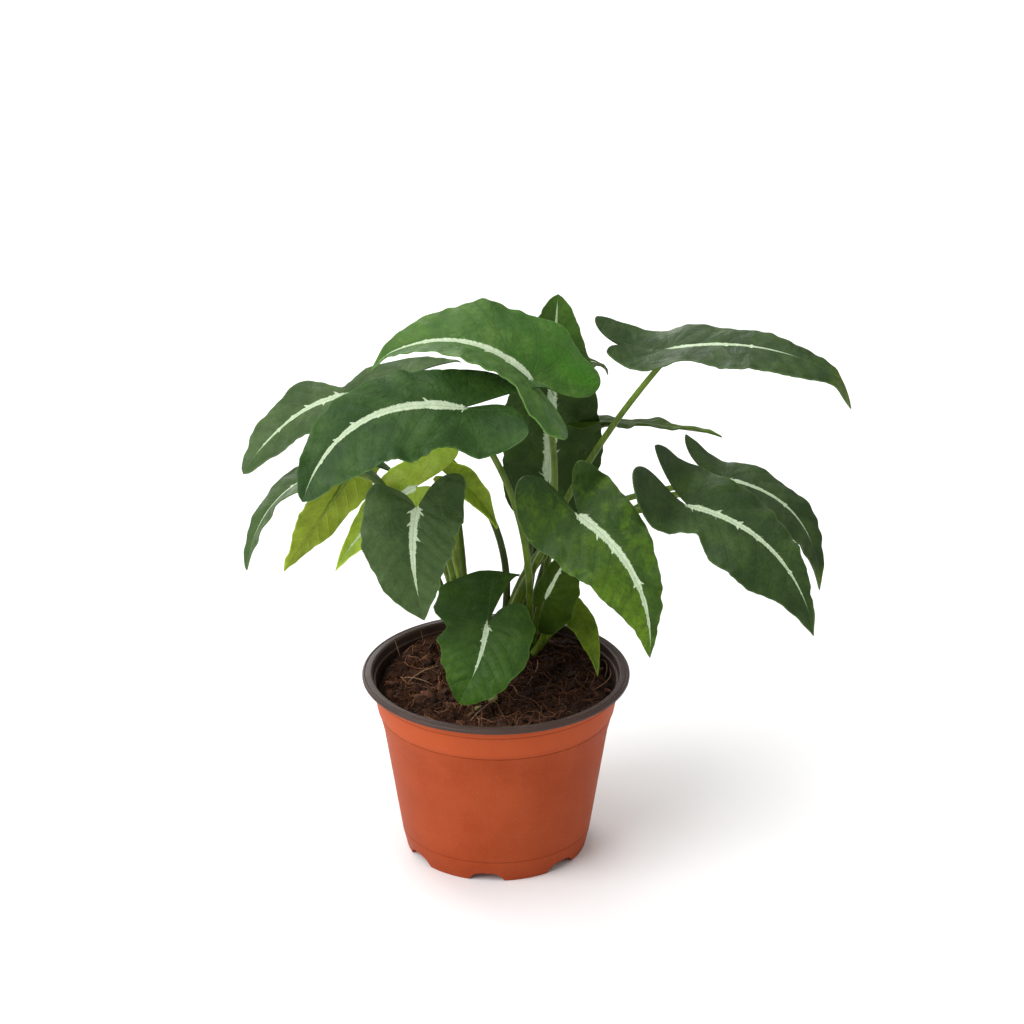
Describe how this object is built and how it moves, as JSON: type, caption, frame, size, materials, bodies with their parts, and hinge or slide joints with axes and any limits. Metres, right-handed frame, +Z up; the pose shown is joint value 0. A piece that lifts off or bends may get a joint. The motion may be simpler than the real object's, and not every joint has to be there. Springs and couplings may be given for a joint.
{
  "type": "potted plant",
  "caption": "Potted syngonium with arrow-shaped dark green leaves, pale silvery midribs, slender stalks and a round tapered plastic nursery pot filled with soil.",
  "frame": {"origin": "centre of the flat pad under the pot, on the surface that the pot stands on", "axes": "+Z up; +Y away from the viewer; +X to the right of the picture"},
  "size_m": [0.336, 0.228, 0.3185],
  "materials": {
    "terracotta_plastic": "satin moulded plastic, terracotta orange with a grey-brown rim and inside",
    "potting_soil": "loose dark coir and bark",
    "leaf": "velvety dark green with a ragged silvery band along the midrib"
  },
  "bodies": {
    "root": {"pot": "terracotta_plastic", "soil": "potting_soil", "shoot_front": "leaf", "shoot_left": "leaf", "shoot_centre": "leaf", "shoot_right": "leaf", "shoot_back": "leaf"}
  },
  "joints": []
}
